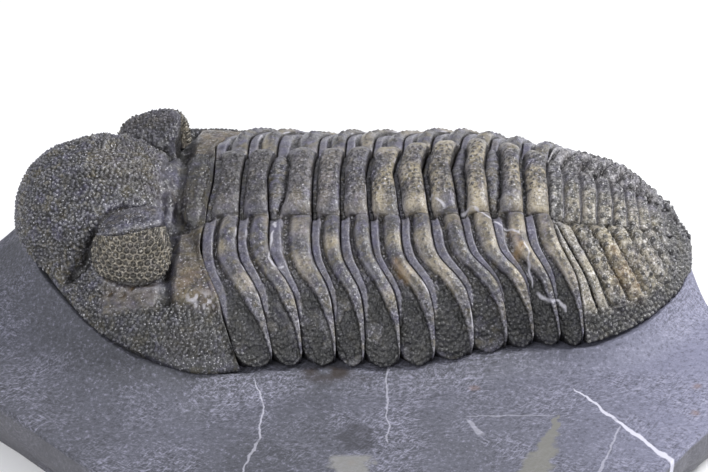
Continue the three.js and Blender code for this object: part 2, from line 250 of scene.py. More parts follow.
def scatter(places, allowed, spacing, seed):
    """Places out of a grid that keep about spacing millimetres from each other"""
    chance = np.random.default_rng(seed)
    picks = chance.permutation(np.flatnonzero(allowed))[:MOST_TRIED]
    spots = places.reshape(-1, 3)[picks].tolist()
    taken = {}
    kept = []
    for spot in spots:
        home = tuple(int(value // spacing) for value in spot)
        cells = product(*((middle - 1, middle, middle + 1) for middle in home))
        near = [other for cell in cells for other in taken.get(cell, ())]
        if all(sum((a - b) ** 2 for a, b in zip(spot, other)) > spacing**2 for other in near):
            taken.setdefault(home, []).append(spot)
            kept.append(spot)
    return kept


Bumps = namedtuple("Bumps", "spacing radius height spread")


def bumps(places, allowed, kind, seed):
    """Round bumps from 0 to 1 on scattered spots; their radii differ by the kind's spread"""
    spots = scatter(places, allowed, kind.spacing, seed)
    if not spots:
        return np.zeros(places.shape[:-1])
    radii = kind.radius * (1 + kind.spread * np.random.default_rng(seed + 1).uniform(-1, 1, len(spots)))
    tree = KDTree(len(spots))
    for index, spot in enumerate(spots):
        tree.insert(spot, index)
    tree.balance()
    found = [tree.find(place)[1:] for place in places.reshape(-1, 3).tolist()]
    index, distance = np.array(found).T
    share = distance / radii[index.astype(int)]
    return np.clip(1 - share**2, 0, 1).reshape(places.shape[:-1])


# %% [markdown]
# Each plate is one closed piece: a grid bent to the plate's outer face, with walls extruded from its rim
# down to the rock and an underside filled in. Relief moves the vertices along the grid's own normals. The
# same relief, minus a blurred copy of itself, tells the material where edges are made pale and hollows dark:
# partly rubbed wear and dirt, partly a painted highlight and painted shade.

# %% From a grid of places to a closed piece
def grid_normals(places):
    along = np.gradient(places, axis=0)
    across = np.gradient(places, axis=1)
    normals = np.cross(across, along)
    normals /= np.linalg.norm(normals, axis=-1, keepdims=True) + 1e-12
    return normals * np.sign(np.mean(normals[..., 2]))


def blurred(field, rounds):
    for _ in range(rounds):
        padded = np.pad(field, 1, mode="edge")
        field = (padded[:-2, 1:-1] + padded[2:, 1:-1] + padded[1:-1, :-2] + padded[1:-1, 2:]) / 4
    return field


def grid_form(places):
    """A bmesh grid whose vertices lie at the given places, each remembering its number"""
    rows, columns = places.shape[:2]
    form = bmesh.new()
    bmesh.ops.create_grid(form, x_segments=columns - 1, y_segments=rows - 1, size=1)
    home = form.verts.layers.int.new("home")
    for number, (vertex, place) in enumerate(zip(form.verts, places.reshape(-1, 3).tolist())):
        vertex.co = place
        vertex[home] = number
    return form, home


def closed_piece(name, places, foot, marks):
    """A grid with walls down to foot(place) and an underside; marks become attributes on its points"""
    form, home = grid_form(places)
    rim = [edge for edge in form.edges if edge.is_boundary]
    wall = bmesh.ops.extrude_edge_only(form, edges=rim)["geom"]
    for vertex in (item for item in wall if isinstance(item, bmesh.types.BMVert)):
        vertex.co = foot(vertex.co)
        vertex[home] = -1 - vertex[home]
    lowest = [item for item in wall if isinstance(item, bmesh.types.BMEdge) and item.is_boundary]
    return finished_piece(name, form, lowest, marks)


FOOT_GAP = 0.02
OVERHANG_START = 20
OVERHANG_END = 27


def foot_under(centre_x, inset):
    """Where a wall ends: on the rock, drawn in towards a centre so that the free edge overhangs a little"""
    def foot(place):
        from_centre = np.hypot(place.x - centre_x, place.y)
        share = inset * float(ease(OVERHANG_START, OVERHANG_END, from_centre))
        height = float(floor_height(place.x)) + FOOT_GAP
        return (mix(place.x, centre_x, share), mix(place.y, 0, share), height)
    return foot


def finished_piece(name, form, lowest, marks):
    """Fills a form's underside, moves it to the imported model's frame and gives each point its marks"""
    bmesh.ops.triangle_fill(form, edges=lowest, use_beauty=True)
    bmesh.ops.recalc_face_normals(form, faces=form.faces)
    mesh = bpy.data.meshes.new(name)
    form.to_mesh(mesh)
    form.free()
    count = len(mesh.vertices)
    spots = np.empty(count * 3)
    mesh.vertices.foreach_get("co", spots)
    mesh.vertices.foreach_set("co", to_part(spots.reshape(-1, 3)).ravel())
    home = np.empty(count, int)
    mesh.attributes["home"].data.foreach_get("value", home)
    mesh.attributes.remove(mesh.attributes["home"])
    is_foot = home < 0
    home = np.where(is_foot, -1 - home, home)
    for mark, values in marks.items():
        mesh.attributes.new(mark, "FLOAT", "POINT").data.foreach_set("value", values.ravel()[home])
    # The foot mark is 1 at the foot of each wall; the material paints shade there
    mesh.attributes.new("foot", "FLOAT", "POINT").data.foreach_set("value", is_foot.astype(float))
    mesh.polygons.foreach_set("use_smooth", np.ones(len(mesh.polygons), bool))
    mesh.update()
    piece = new_object(name, mesh)
    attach(piece, "root")
    print(name, "has", len(mesh.polygons), "faces")
    return piece


def near_line(places, points, width):
    """How close each place is to a chain of points seen from above: 1 on it, fading over width millimetres"""
    flat = places[..., :2]
    nearest = np.full(flat.shape[:-1], FAR_AWAY)
    chain = np.array(points, float)[:, :2]
    for start, end in zip(chain[:-1], chain[1:]):
        span = end - start
        share = np.clip(((flat - start) @ span) / (span @ span), 0, 1)
        nearest = np.minimum(nearest, np.linalg.norm(flat - start - share[..., None] * span, axis=-1))
    return bell(nearest, 0, width)


def near_spots(places, spots, length, width):
    """How close each place is to some spots seen from above, fading over a length and a width"""
    x, y = places[..., 0], places[..., 1]
    return np.max([bell(x, sx, length) * bell(y, sy, width) for sx, sy in spots], axis=0)


# %% [markdown]
# A segment of the thorax has a ring in the middle and a rib on each side. The ring is a barrel with a
# groove in front of it. In some gaps the half-ring shows, a smooth tongue that once slid under the ring
# ahead. The rib has a narrow smooth band in front, a deep furrow and a broad band behind that carries a row
# of small bumps and runs down the rear edge. In front of it lies the flat, grainy facet that tucked under
# the next rib when the animal rolled up. The tips are rounded like paddles.

# %% Relief of one thorax segment
# Ring by ring: where it starts, how far the half-ring before it shows and how high it stands
RING_START = (0.24, 0.2, 0.46, 0.2, 0.18, 0.16, 0.16, 0.18, 0.42, 0.5, 0.2)
HALF_RING_SHOWS = (0, 0, 1, 0.2, 0, 0, 0, 0.3, 1, 1, 0.2)
RING_HEIGHT = (0.7, 0.8, 1.2, 0.9, 1.0, 1.1, 1.3, 1.4, 1.8, 1.7, 1.3)
VARIED = np.random.default_rng(7).uniform(-1, 1, (11, 4))
band_front = curve((0.26, 0.47), (0.5, 0.47), (0.62, 0.52), (0.72, 0.66), (0.82, 0.83), (0.92, 0.91),
                   (1, 0.93))
front_end = curve((0.26, 0.3), (0.5, 0.3), (0.62, 0.25), (0.72, 0.15), (0.82, 0.04), (1, 0.02))


def plateau(x, start, end, soft):
    """1 between start and end, with rounded shoulders"""
    return between(x, start - soft, start + soft, end - soft, end + soft)


def segment_relief(number, u, w, wobble, ripple):
    """Height of a segment's relief, with masks of its ring, its rear band, its front band and its facet"""
    u = u + (0.04 * wobble + 0.02 * ripple) * np.sin(np.pi * u)
    start = RING_START[number] * (1 - (w / 0.3) ** 3) + 0.1 * ease(0.2, 0.28, w)
    behind = (u - start) / (1 - start)
    tongue = HALF_RING_SHOWS[number] * np.sin(np.pi * np.clip(u / start, 0, 1)) ** 0.7
    top = RING_HEIGHT[number] * (1 - 0.45 * ease(0.19, 0.28, w))
    barrel = np.clip(1 - np.abs((behind - 0.5) / 0.52) ** 3, 0, 1) ** 0.6
    ring = np.where(u < start, -1.2 + 0.8 * tongue, mix(np.where(behind < 0.5, -1, -0.2), top, barrel))
    band = plateau(u, band_front(w) + 0.03 * VARIED[number, 0], 1.02, mix(0.08, 0.035, ease(0.6, 0.9, w)))
    front = plateau(u, 0, front_end(w) + 0.03 * VARIED[number, 1], 0.045) * fade(0.74, 0.82, w)
    outer = ease(0.54, 0.72, w)
    facet = outer * (1 - band) * (1 - front)
    low = mix(-0.55, mix(-0.8, -0.1, u), outer)
    crown = mix(1.05 + 0.45 * np.sin(np.pi * np.clip((u - 0.5) * 2, 0, 1)), 0.7, ease(0.55, 0.92, w))
    height = low + band * crown * (1 + 0.15 * VARIED[number, 2]) + front * mix(0.5 + 0.9 * u, 0.35, outer)
    height = height + 0.35 * ease(0.92, 0.975, w) * np.sin(np.pi * np.clip(u, 0, 1))
    ring_share = fade(FURROW - 0.03, FURROW + 0.014, w)
    crease_at = FURROW - 0.004 + 0.006 * wobble
    crease = -0.28 * bell(w, crease_at, 0.008) - 0.6 * bell(w, FURROW, 0.022) * bell(u, 0.1, 0.16)
    is_ring = ring_share * ease(-0.02, 0.06, behind)
    rib_share = 1 - ring_share
    return mix(height, ring, ring_share) + crease, is_ring, band * rib_share, front * rib_share, facet


# %% [markdown]
# The bumps of a segment are set by scatter(): some over the upper ring, one row along the rear band, and
# fine grains over the facet. Colours differ along the animal: the front rings are dark grey, and from the
# sixth on they turn tan. White calcite fills the cracks that crossed the shell. Thin pale lines follow the
# seams: partly calcite, partly a painted highlight on the plates' edges.

# %% Build the eleven segments
WARM_LINES = (
    ((8.5, -22.6), (9.5, -24.8), (10.7, -25.6)),
    ((48.3, -15.9), (50, -17.6), (52.8, -18.8)),
    ((29.3, -16.5), (31.1, -18.5), (30.4, -20.5)),
)
BEIGE_RIDGE = ((9.5, -21.9), (10.7, -24.6), (13, -25.9), (14.9, -28.8), (15.7, -30.8))
BARE_FACET = ((-12.2, -29.7), (-10.1, -32.3), (-8.6, -34.3))
SEGMENT_ROWS = 44
SEGMENT_COLUMNS = 372
# How tan and how dark each ring is, from the head backwards
RING_TAN = (0.2, 0.2, 0.25, 0.5, 0.4, 1, 0.9, 1, 1, 0.9, 0.9)
RING_DARK = (0.45, 0.4, 0.1, 0.1, 0.1, 0, 0, 0, 0, 0, 0)
VEINS = (
    ((-14.2, -13), (-14.5, -17.4), (-14.5, -22.5), (-13.8, -23.8), (-12.1, -23.8)),
    ((14.4, -8.1), (17.3, -10.7), (20.1, -11.7), (23.4, -11.6), (25.6, -14.1), (28, -15.3), (30.7, -16.5),
     (32.2, -19.3), (32.9, -21.7), (33.9, -24), (34.9, -24.4), (37.2, -24.8), (39.7, -25.1)),
)
VEIN_WIDTH = 0.22
RING_BUMPS = Bumps(spacing=0.98, radius=0.45, height=0.34, spread=0.25)
BAND_BUMPS = Bumps(spacing=0.95, radius=0.4, height=0.24, spread=0.25)
FACET_GRAINS = Bumps(spacing=0.74, radius=0.4, height=0.26, spread=0.25)


def vein_mark(places):
    """White calcite in the cracks, broken up as the real veins are"""
    wavy = places + 0.5 * np.stack([noise(places, 1.6, 5), noise(places, 1.6, 6), 0 * places[..., 0]], -1)
    gaps = ease(-0.7, 0.1, noise(places, 1.3, 7))
    return gaps * np.max([near_line(wavy, vein, VEIN_WIDTH) for vein in VEINS], axis=0)


def shell_marks(places, relief, blur, pale=0, ochre=0, **masks):
    """The marks that every plate has; a plate names only those masks that aren't zero all over it"""
    warm = np.max([near_line(places, line, 0.7) for line in WARM_LINES], axis=0)
    common = {"lump": 0, "tan": 0, "grain": 0, "smooth": 0, "violet": 0}
    common |= {"pale": vein_mark(places) + pale, "ochre": np.maximum(warm, ochre)}
    marks = {name: np.clip(value, 0, 1) for name, value in (common | masks).items()}
    # Relief minus its blur: rubbed wear and dirt, and also painted highlight on tops and painted shade in
    # hollows
    marks["wear_and_painted_light"] = relief - blurred(relief, blur)
    return {name: np.broadcast_to(value, relief.shape).astype(float) for name, value in marks.items()}


def thorax_segment(number):
    u, side = np.meshgrid(np.linspace(0, 1, SEGMENT_ROWS), np.linspace(-1, 1, SEGMENT_COLUMNS), indexing="ij")
    corners = 1 - np.sqrt(1 - (0.985 * (2 * u - 1)) ** 2)
    side = side * (1 - 0.1 * corners * ease(0.7, 1, np.abs(side)))
    w = np.abs(side)
    front_x = SEAMS[number](w) + SEAM_GAP / 2
    back_x = SEAMS[number + 1](w) - SEAM_GAP / 2
    places = section(mix(front_x, back_x, u), side)
    wobble, ripple = noise(places, 6, 70 + number), noise(places, 2.2, 50 + number)
    relief, ring, band, front, facet = segment_relief(number, u, w, wobble, ripple)
    bare = near_line(places, BARE_FACET, 1.3) * facet
    flaked = ease(0.3, 0.38, layered_noise(places, 4.2, 90 + number, 2))
    worn = np.maximum(flaked * (0.4 + 0.6 * facet), bare)
    beige = near_line(places, BEIGE_RIDGE, 0.7)
    smooth = np.clip(front + band * fade(0.6, 0.75, w) + ring * ease(0.15, 0.26, w), 0, 1)
    relief = relief + 0.24 * layered_noise(places, 5, 11 + number)
    relief = relief + mix(0.1, 0.03, smooth) * layered_noise(places, 0.9, 40 + number, 2)
    relief = relief - 0.16 * worn + 0.18 * VARIED[number, 3] + 0.3 * beige
    inner = np.minimum(u, 1 - u)
    upper = w < 0.15 + 0.04 * noise(places, 5, 33 + number)
    top_bumps = bumps(places, (ring > 0.6) & upper & (inner > 0.1), RING_BUMPS, 160 + number)
    in_row = (np.abs(u - mix(band_front(w), 0.95, 0.55)) < 0.04) & (w > 0.31) & (w < 0.8)
    row_bumps = bumps(places, (band > 0.5) & in_row, BAND_BUMPS, 180 + number)
    grains = bumps(places, (facet > 0.35) & (inner > 0.04) & (worn < 0.5), FACET_GRAINS, 200 + number)
    relief = relief + RING_BUMPS.height * top_bumps + BAND_BUMPS.height * row_bumps
    relief = relief + FACET_GRAINS.height * grains
    # Pale lines at the seams: partly calcite, partly a painted highlight along the plates' edges
    seams = bell(u, 0.975, 0.02) + bell(u, 0.3, 0.03) * (w > 0.3) * (w < 0.7)
    line = ease(0.2, 0.8, noise(places, 2.6, 9)) * seams
    worn_ring = RING_TAN[number] * ring * ease(-0.8, 0.3, noise(places, 5, 12))
    worn_band = 0.75 * band * ease(-0.2, 0.7, noise(places, 5, 14)) * fade(0.75, 0.9, w)
    marks = shell_marks(
        places, relief, 12,
        lump=np.maximum(top_bumps, 0.5 * row_bumps),
        tan=worn_ring + worn_band,
        grain=facet * (1 - 0.5 * worn) + RING_DARK[number] * ring,
        smooth=np.maximum(smooth, bare),
        violet=0.6 * front + 0.25 * ring * (number < 5) + 0.35 * bare,
        pale=0.8 * line * ease(0.03, 0.12, w) + 0.2 * beige,
    )
    foot = foot_under(float(np.mean(back_x)) - 3, 0.035)
    name = f"thorax_{number + 1:02d}"
    piece = closed_piece(name, places + relief[..., None] * grid_normals(places), foot, marks)
    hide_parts(f"thorax_segment_{number + 1:02d}")
    return piece


segments = [thorax_segment(number) for number in range(11)]

# %% [markdown]
# The tail shield is made of segments that grew together: nine rings taper down its axis and ribs fan out
# beside them, until both fade into a grainy margin. It could be a copy of the segments, but on the real
# animal no seam is left, so it is one grid. Counting curves say how many rings or ribs lie ahead of each
# place.

# %% Build the tail shield
TAIL_ROWS = 300
TAIL_COLUMNS = 290
TAIL_KNOBS = Bumps(spacing=1.45, radius=0.66, height=0.42, spread=0.25)
TAIL_GRAINS = Bumps(spacing=0.86, radius=0.46, height=0.38, spread=0.25)
OCHRE_SPOT = (50.5, -18)
ring_count = curve(*zip((36.6, 39.6, 42.8, 46, 49, 51.7, 54, 56.3, 59, 61), range(10)))
rib_count = curve(*zip((36.6, 38.8, 42.2, 45.6, 49, 52.3, 55.3, 58.2, 61), range(9)))
rib_sweep = curve((FURROW, 0), (FULCRUM, 2.7), (OUTER, 6.4), (0.85, 8.6), (1, 10))


def ridges(count, gap):
    """1 on the broad tops between whole numbers, 0 in the narrow grooves at them"""
    return 1 - bell(count, np.round(count), gap)


def tail_shield():
    share = np.linspace(0, 1, TAIL_ROWS) ** 0.9
    u, side = np.meshgrid(share, np.linspace(-1, 1, TAIL_COLUMNS), indexing="ij")
    w = np.abs(side)
    x = mix(SEAMS[11](w) + SEAM_GAP / 2, TAIL_TIP_X, u)
    places = section(x, side)
    wobble = noise(places, 4, 25)
    rings = ring_count(x) + 0.06 * wobble
    ribs = rib_count(x - rib_sweep(w)) - 0.3 + 0.1 * wobble
    ring_share = fade(FURROW - 0.04, FURROW + 0.01, w)
    margin = ease(0.8, 0.9, w + 0.16 * ease(56, 63, x) * w)
    end = fade(58.5, 63, x)
    ring_top, rib_top = ridges(rings, 0.13), ridges(ribs, 0.15) * (1 - margin)
    bold = 1 - 0.55 * ease(46, 60, x)
    height = mix(-0.85 + 1.35 * rib_top, -0.6 + 1.15 * ring_top, ring_share) * end * bold
    height = height + 0.55 * margin * end - 0.9 * bell(w, FURROW, 0.024) * end - 0.8 * fade(0, 0.02, u)
    worked = 0.3 * layered_noise(places, 5, 21) + 0.1 * layered_noise(places, 0.9, 22, 2)
    height = height + fade(0.95, 0.99, u) * worked
    on_ring = (w < 0.23) & (np.abs(rings % 1 - 0.5) < 0.26) & (x < 61)
    on_rib = (w > 0.31) & (margin < 0.6) & (np.abs(ribs % 1 - 0.5) < 0.3) & (ribs > 1) & (x < 61)
    knobs = bumps(places, on_ring | on_rib, TAIL_KNOBS, 121)
    grains = bumps(places, ((margin > 0.35) | (x > 60)) & (u < 0.985), TAIL_GRAINS, 123)
    height = height + TAIL_KNOBS.height * knobs + TAIL_GRAINS.height * grains
    warm = 0.45 + 0.5 * ease(-0.3, 0.6, noise(places, 6, 24))
    # far marks the far side, which is painted lavender and less tan: a painted tint of the light that falls
    # on it
    far = ease(-2, 3, places[..., 1])
    marks = shell_marks(
        places, height, 12,
        lump=knobs,
        tan=warm * (1 - margin) * between(x, 37, 41, 55, 61) * (1 - 0.75 * far),
        violet=0.6 * far * (1 - margin),
        grain=np.maximum(0.8 * margin, 0.7 * ease(56, 62, x)),
        pale=(0.35 * ring_share * (1 - ring_top) + 0.3 * bell(w, FURROW, 0.012)) * end,
        ochre=near_spots(places, [OCHRE_SPOT], 2.4, 2.6),
    )
    foot = foot_under(44, 0.045)
    piece = closed_piece("tail_shield", places + height[..., None] * grid_normals(places), foot, marks)
    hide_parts("pygidium")
    return piece


tail = tail_shield()

# %% [markdown]
# The head shield is the boldest form: a swollen forehead that hangs over the front, cheeks that slope away,
# and two eyes that stand up like turrets. Such soft unions of rounded lumps are what metaballs are made
# for, but metaballs come out in even cells. Here a grid is thrown over the same kind of union: its middle
# lies on the summit, its border follows the head's outline, and each vertex is drawn in until it touches
# the surface.

# %% The head's rounded bodies
HEAD_CENTRE = np.array([-38, 0, 4])
HEAD_TOP = np.array([-6, 0, 22]) / np.hypot(6, 22)
EYE_TILT = 0.24
# Each body: its middle, its half-axes, how boxy it is in one plane and across it, its rise towards the
# rear, and
# the axis across that plane (2 is upwards, 0 is lengthwise)
HEAD_BODIES = {
    "cheek": [((-31, 0, 2), (28.5, 40.2, 15.6), 2.2, 2.2, 0, 2)],
    "forehead": [
        ((-48, 0, 11.8), (16.7, 17.8, 14.2), 2.1, 2.1, 0, 2),
        ((-50.5, 0, 8.6), (12.8, 19.8, 8.4), 2.2, 2.2, 0, 2),
        ((-40.5, 0, 12), (11.5, 10.8, 10.8), 2.4, 2.4, 0, 2),
    ],
    "middle_ring": [((-34.2, 0, 13), (1.6, 11.4, 7.6), 2.4, 2.4, 0, 2)],
    "neck_ring": [((-29.8, 0, 13), (3.2, 12.6, 9.2), 2.6, 2.6, 0, 2)],
    "far_eye": [((-40.4, 17.8, 10), (7.3, 8.5, 13.1), 2.3, 4, EYE_TILT, 0)],
    "near_eye": [((-40.4, -17.8, 10), (7.3, 8.5, 13.1), 2.3, 4, EYE_TILT, 0)],
}
HEAD_BLEND = 0.45
HEAD_MARGIN_X = -26
HEAD_LAST_ANGLE = 97
margin_radius = curve((0, 35.3), (38, 35.1), (63, 37.7), (90, 41), (98, 40.2))


def body_distance(places, parts):
    """Roughly how far each place is outside the nearest of some rounded boxes"""
    nearest = np.full(places.shape[:-1], FAR_AWAY)
    for at, axes, power, lone_power, tilt, lone in parts:
        spots = np.abs((places - at - tilt * (places[..., :1] - at[0]) * (0, 0, 1)) / axes)
        pair = sum(spots[..., k] ** power for k in range(3) if k != lone) ** (lone_power / power)
        whole = (pair + spots[..., lone] ** lone_power) ** (1 / lone_power)
        nearest = np.minimum(nearest, (whole - 1) * min(axes))
    return nearest


def head_distance(places):
    parts = [part for body in HEAD_BODIES.values() for part in body]
    total = sum(np.exp(-body_distance(places, [part]) / HEAD_BLEND) for part in parts)
    return -HEAD_BLEND * np.log(np.maximum(total, 1e-30))


def drawn_in(start, direction, reach, steps, distance=head_distance):
    """Walks inwards along directions from reach millimetres out until a surface is met"""
    reach = np.full(direction.shape[:-1], float(reach))
    for _ in range(steps):
        reach = reach - 0.95 * distance(start + direction * reach[..., None])
    return reach


def head_rim():
    """The head's border as a closed chain: the seam with the thorax, then the free margin round the front"""
    v = np.linspace(-1, 1, 401)
    w = np.abs(v)
    rear = section(SEAMS[0](w) - SEAM_GAP / 2, v)
    rear[:, 2] -= 0.9 - 0.7 * w
    angle = np.radians(np.linspace(HEAD_LAST_ANGLE, -HEAD_LAST_ANGLE, 1201))
    radius = margin_radius(np.degrees(np.abs(angle)))
    x = HEAD_MARGIN_X - radius * np.cos(angle)
    margin = np.stack([x, radius * np.sin(angle), edge_height(x)], -1)
    from_end = np.linspace(0, 1, len(margin))[:, None]
    margin += (rear[-1] - margin[0]) * fade(0, 0.05, from_end)
    margin += (rear[0] - margin[-1]) * ease(0.95, 1, from_end)
    return rear, margin


# %% [markdown]
# The grid has to end in the head's outline, so its square is read as rings: one side is the seam with the
# thorax, and the other three are the free margin. In between, the direction of each vertex turns from the
# summit to the border. Equal turns would crowd vertices on top and stretch the cheeks, so each spoke is
# measured first and then shared out by its length along the surface.

# %% Throw the grid over the head
HEAD_SIZE = 309
SPOKES = 360
SPOKE_STEPS = 160
HEAD_REACH = 58
DRAW_STEPS = 40


def turned(share, spoke):
    """Directions at a share of the turn from the head's summit to the border"""
    turn = np.arccos(spoke @ HEAD_TOP)
    direction = np.sin((1 - share) * turn)[..., None] * HEAD_TOP + np.sin(share * turn)[..., None] * spoke
    return direction / np.sin(turn)[..., None]


def border_spokes(round_share):
    """Direction and length from the head's centre to its border; round_share goes once round, from 0 to 1"""
    rear, margin = head_rim()
    on_rear = round_share < 0.25
    rear_shares, margin_shares = np.linspace(0, 0.25, len(rear)), np.linspace(0.25, 1, len(margin))
    border = np.stack([
        np.where(on_rear, np.interp(round_share, rear_shares, rear[:, k]),
                 np.interp(round_share, margin_shares, margin[:, k])) for k in range(3)], -1)
    spoke = border - HEAD_CENTRE
    length = np.linalg.norm(spoke, axis=-1)
    return spoke / length[..., None], length


def head_surface():
    a, b = np.meshgrid(np.linspace(-1, 1, HEAD_SIZE), np.linspace(-1, 1, HEAD_SIZE), indexing="ij")
    t = np.maximum(np.abs(a), np.abs(b))
    p, q = a / np.maximum(t, TINY), b / np.maximum(t, TINY)
    quarters = [p > 1 - TINY, q > 1 - TINY, p < -1 + TINY]
    round_share = np.select(quarters, [1 + q, 3 - p, 5 - q], 7 + p) / 8
    first = np.linspace(0, 1, SPOKE_STEPS)
    share, turn_round = np.meshgrid(first, np.linspace(0, 1, SPOKES), indexing="ij")
    spokes, _ = border_spokes(turn_round)
    direction = turned(share, spokes)
    trial = direction * drawn_in(HEAD_CENTRE, direction, HEAD_REACH, DRAW_STEPS)[..., None]
    lengths = np.cumsum(np.linalg.norm(np.diff(trial, axis=0, prepend=trial[:1]), axis=-1), axis=0)
    lengths = lengths / lengths[-1]
    even = np.stack([np.interp(first, lengths[:, k], first) for k in range(SPOKES)], -1)
    at_t, at_round = t * (SPOKE_STEPS - 1), round_share * (SPOKES - 1)
    i, j = np.minimum(at_t.astype(int), SPOKE_STEPS - 2), np.minimum(at_round.astype(int), SPOKES - 2)
    di, dj = at_t - i, at_round - j
    share = mix(mix(even[i, j], even[i + 1, j], di), mix(even[i, j + 1], even[i + 1, j + 1], di), dj)
    spoke, edge_reach = border_spokes(round_share)
    direction = turned(share, spoke)
    reach = mix(drawn_in(HEAD_CENTRE, direction, HEAD_REACH, DRAW_STEPS), edge_reach, ease(0.95, 1, t))
    return HEAD_CENTRE + direction * reach[..., None], t


head_places, head_t = head_surface()
print("head spans", np.ptp(head_places.reshape(-1, 3), axis=0).round(1), "mm")

# %% [markdown]
# Furrows lie where two rounded bodies meet, so they are found by comparing the distances to the two nearest
# ones. Bumps cover the forehead, the cheeks and the turrets, as close as they will go. The border behind
# the eyes, the band below them and the middle ring stay smooth.

# %% Relief and marks of the head shield
BORDER_FURROW = ((-33, 13), (-33.2, 20), (-33.4, 26), (-33, 30))
SHELF_PITS = ((-43.4, 27.4), (-41, 28.2), (-39.6, 27.2))
NECK_KNOBS = ((-34, 7.2), (-35.4, 3.2))
FOREHEAD_FURROW = ((-48, 16.6), (-49.3, 18), (-50.4, 19), (-52.2, 19.7))
CHIP_SPOT = (-26.8, -30)
HEAD_BUMPS = Bumps(spacing=0.68, radius=0.41, height=0.47, spread=0.35)
LID_BUMPS = Bumps(spacing=0.62, radius=0.34, height=0.2, spread=0.25)
NECK_BUMPS = Bumps(spacing=0.9, radius=0.42, height=0.3, spread=0.25)
EYE_X = -40.4
EYE_HUB = np.array([EYE_X, 17.8, 13])
# A lens window in degrees: how far it reaches round the eye, and its lower and upper border above the hub
EYE_TURN = (-88, 84)
eye_bottom = curve((-88, 32), (-60, 17), (-20, 5), (20, 3), (55, 10), (84, 27))
eye_top = curve((-88, 46), (-45, 62), (0, 71), (45, 67), (84, 55))


def both_sides(places):
    return np.stack([places[..., 0], np.abs(places[..., 1]), places[..., 2]], -1)


def eye_angles(places):
    """Turn round the hub of an eye, 0 towards its side, and rise above the hub, in degrees"""
    x, y, z = np.moveaxis(both_sides(places) - EYE_HUB, -1, 0)
    return np.degrees(np.arctan2(x, y)), np.degrees(np.arctan2(z, np.hypot(x, y)))


def head_shield(places, t):
    calm = np.stack([blurred(places[..., k], 6) for k in range(3)], -1)
    mirrored = both_sides(places)
    x, y, z = np.moveaxis(mirrored, -1, 0)
    near_side = places[..., 1] < 0
    distances = np.sort(np.stack([body_distance(places, parts) for parts in HEAD_BODIES.values()]), axis=0)
    turret = fade(0.3, 1.4, body_distance(mirrored, HEAD_BODIES["far_eye"]))
    turn, rise = eye_angles(places)
    outer = ease(19.5, 22.5, y) * between(x, -50, -48, -34, -32)
    crease = bell(distances[1] - distances[0], 0, 0.8) * (1 - outer)
    border = near_line(mirrored, BORDER_FURROW, 1.1)
    valley = near_line(mirrored, FOREHEAD_FURROW, 0.9) * (z > 9)
    border_band = ease(-32.6, -31.4, x) * between(y, 12.5, 14, 29, 33)
    around = plateau(turn, EYE_TURN[0], EYE_TURN[1], 4)
    window = turret * around * plateau(rise, eye_bottom(turn) + 1.5, eye_top(turn) - 1.5, 3)
    lid = turret * ease(20.2, 21.4, z - EYE_TILT * (x - EYE_X)) * (1 - window)
    shelf = between(x, -46, -44, -35.5, -34) * between(y, 24.5, 26, 30.5, 32.5)
    behind_eye = between(x, -36.5, -35, -32.5, -31.5) * between(y, 12.5, 14, 27, 30)
    neck = ease(-33, -32.2, x) * fade(12, 13.5, y)
    middle = bell(x, -34.8, 1.8) * fade(12, 13, y)
    knobs = near_spots(mirrored, NECK_KNOBS, 1.3, 1.3) * middle
    pits = near_spots(mirrored, SHELF_PITS, 0.55, 0.55)
    open_shelf = shelf * (1 - turret)
    bare = crease + 0.6 * valley + border_band + border + open_shelf + neck + middle + window
    bare = bare + behind_eye * (1 - lid) + ease(0.965, 0.98, t)
    coarse = bumps(places, (bare < 0.4) & (lid * near_side < 0.5), HEAD_BUMPS, 131)
    fine = bumps(places, (lid > 0.4) & (bare < 0.7) & near_side, LID_BUMPS, 133)
    on_neck = bumps(places, (neck > 0.7) & (crease < 0.3) & (y < 9) & (t < 0.95), NECK_BUMPS, 135)
    top = between(x, -54, -49, -40, -38.5) * fade(10, 13, y) * (1 - turret)
    folds = top * bell(noise(places, 2.8, 39), 0, 0.26)
    uneven = HEAD_BUMPS.height + 0.15 * noise(places, 2.5, 41)
    rough = 0.35 * layered_noise(places, 7, 31) + 0.12 * layered_noise(places, 1, 36, 2)
    rough = rough + uneven * coarse + NECK_BUMPS.height * on_neck + 0.45 * folds
    relief = -0.9 * crease * fade(0.86, 0.96, t) - 1.2 * border + 0.5 * border_band - 0.8 * window
    relief = relief - 1.3 * valley + 0.4 * open_shelf - 0.5 * pits + 0.9 * knobs
    relief = relief + fade(0.94, 1, t) * rough + LID_BUMPS.height * fine
    # Darker patches on the top and front of the forehead and on the far eye: painted shade where these catch
    # more light
    painted_shade_patches = 0.35 * (top + (x < -50)) * ease(-0.1, 0.7, noise(places, 5, 42)) + 0.4 * turret * ~near_side
    marks = shell_marks(
        places, relief, 9,
        lump=0.6 * on_neck + pits + 0.7 * knobs,
        tan=0.55 * border_band + 0.35 * ease(0.1, 0.8, noise(places, 8, 34)) + 0.7 * shelf + 0.1 * neck,
        smooth=shelf + middle + behind_eye + 0.7 * border_band + 0.6 * neck,
        violet=0.2 * shelf + 0.7 * middle + 0.35 * lid + 0.4 * behind_eye,
        # grain also paints shade into the border furrow and the forehead furrow, and adds the painted shade
        # patches
        grain=0.6 * ease(28, 32, y) * (1 - shelf) + 0.5 * border + 0.45 * neck + 0.6 * valley + painted_shade_patches,
        pale=0.75 * near_spots(places, [CHIP_SPOT], 3, 2) * ease(-0.2, 0.4, noise(places, 0.8, 35)),
        ochre=0.35 * border_band * ease(20, 24, y) + 0.6 * pits,
    )
    foot = foot_under(-34, 0.03)
    piece = closed_piece("head_shield", places + relief[..., None] * grid_normals(calm), foot, marks)
    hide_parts("cephalon")
    return piece


head = head_shield(head_places, head_t)

